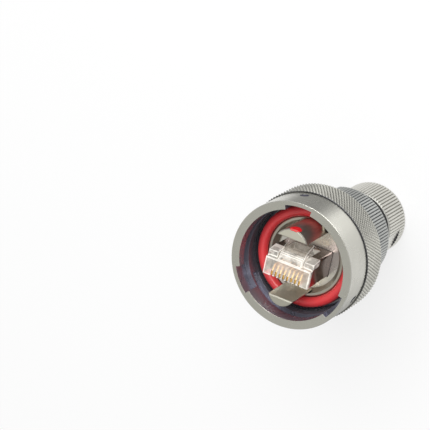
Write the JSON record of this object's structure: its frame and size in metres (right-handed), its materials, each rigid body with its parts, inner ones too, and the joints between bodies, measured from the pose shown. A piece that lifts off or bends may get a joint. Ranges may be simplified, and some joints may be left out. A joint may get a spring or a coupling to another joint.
{
  "type": "circular ethernet connector",
  "caption": "Round bayonet plug connector that holds a modular ethernet plug, with knurled coupling ring, backshell and cable gland.",
  "frame": {"origin": "centre of the gland nut's rear face, on the connector's axis", "axes": "+Z along the connector's axis from the cable side to the mating face; +Y towards the modular plug's latch"},
  "size_m": [0.0316, 0.0316, 0.0498],
  "materials": {
    "olive_metal": "satin olive-grey plating",
    "grey_metal": "satin grey plating",
    "bright_nickel": "bright nickel",
    "spring_steel": "bright rolled steel",
    "shield_metal": "polished tinned sheet",
    "red_rubber": "glossy red silicone",
    "black_rubber": "black rubber",
    "cradle_plastic": "moulded black nylon",
    "clear_plastic": "clear polycarbonate",
    "gold": "gold plating"
  },
  "bodies": {
    "nut": {"gland_nut": "olive_metal"},
    "washer": {"thrust_washer": "bright_nickel"},
    "backshell": {"backshell": "grey_metal", "cable_seal": "black_rubber", "braid_cone": "bright_nickel", "braid_ring": "bright_nickel"},
    "seat_ring": {"clamp_ring": "bright_nickel"},
    "shell": {"plug_shell": "olive_metal", "backshell_o_ring": "black_rubber", "retaining_clip": "spring_steel", "wave_washer": "spring_steel", "face_seal": "red_rubber", "insert_plate": "bright_nickel", "cradle_upper": "cradle_plastic", "cradle_lower": "cradle_plastic", "modular_plug": "clear_plastic", "plug_contacts": "gold", "plug_shield": "shield_metal"},
    "ring_washer": {"slide_washer": "spring_steel"},
    "ring": {"coupling_ring": "olive_metal"}
  },
  "joints": [
    {"name": "gland_nut_turn", "type": "hinge", "parent": "nut", "child": "washer", "pos_m": [0, 0, 0.0018], "axis": [0, 0, 1], "range_deg": [0, 1080]},
    {"name": "gland_nut_travel", "type": "slide", "parent": "washer", "child": "backshell", "axis": [0, 0, 1], "range_m": [0, 0.003]},
    {"name": "backshell_turn", "type": "hinge", "parent": "backshell", "child": "seat_ring", "pos_m": [0, 0, 0.022], "axis": [0, 0, 1], "range_deg": [0, 1440]},
    {"name": "backshell_travel", "type": "slide", "parent": "seat_ring", "child": "shell", "axis": [0, 0, 1], "range_m": [0, 0.004]},
    {"name": "ring_float", "type": "slide", "parent": "shell", "child": "ring_washer", "axis": [0, 0, 1], "range_m": [0, 0.0006], "stiffness_N_per_m": 500, "springref_m": -0.002, "deforming": ["wave_washer"]},
    {"name": "ring_turn", "type": "hinge", "parent": "ring_washer", "child": "ring", "pos_m": [0, 0, 0.036], "axis": [0, 0, 1], "continuous": true}
  ],
  "couplings": [
    {"joint": "gland_nut_travel", "follows": "gland_nut_turn", "m_per_rad": 0.00015915},
    {"joint": "backshell_travel", "follows": "backshell_turn", "m_per_rad": 0.00015915}
  ]
}
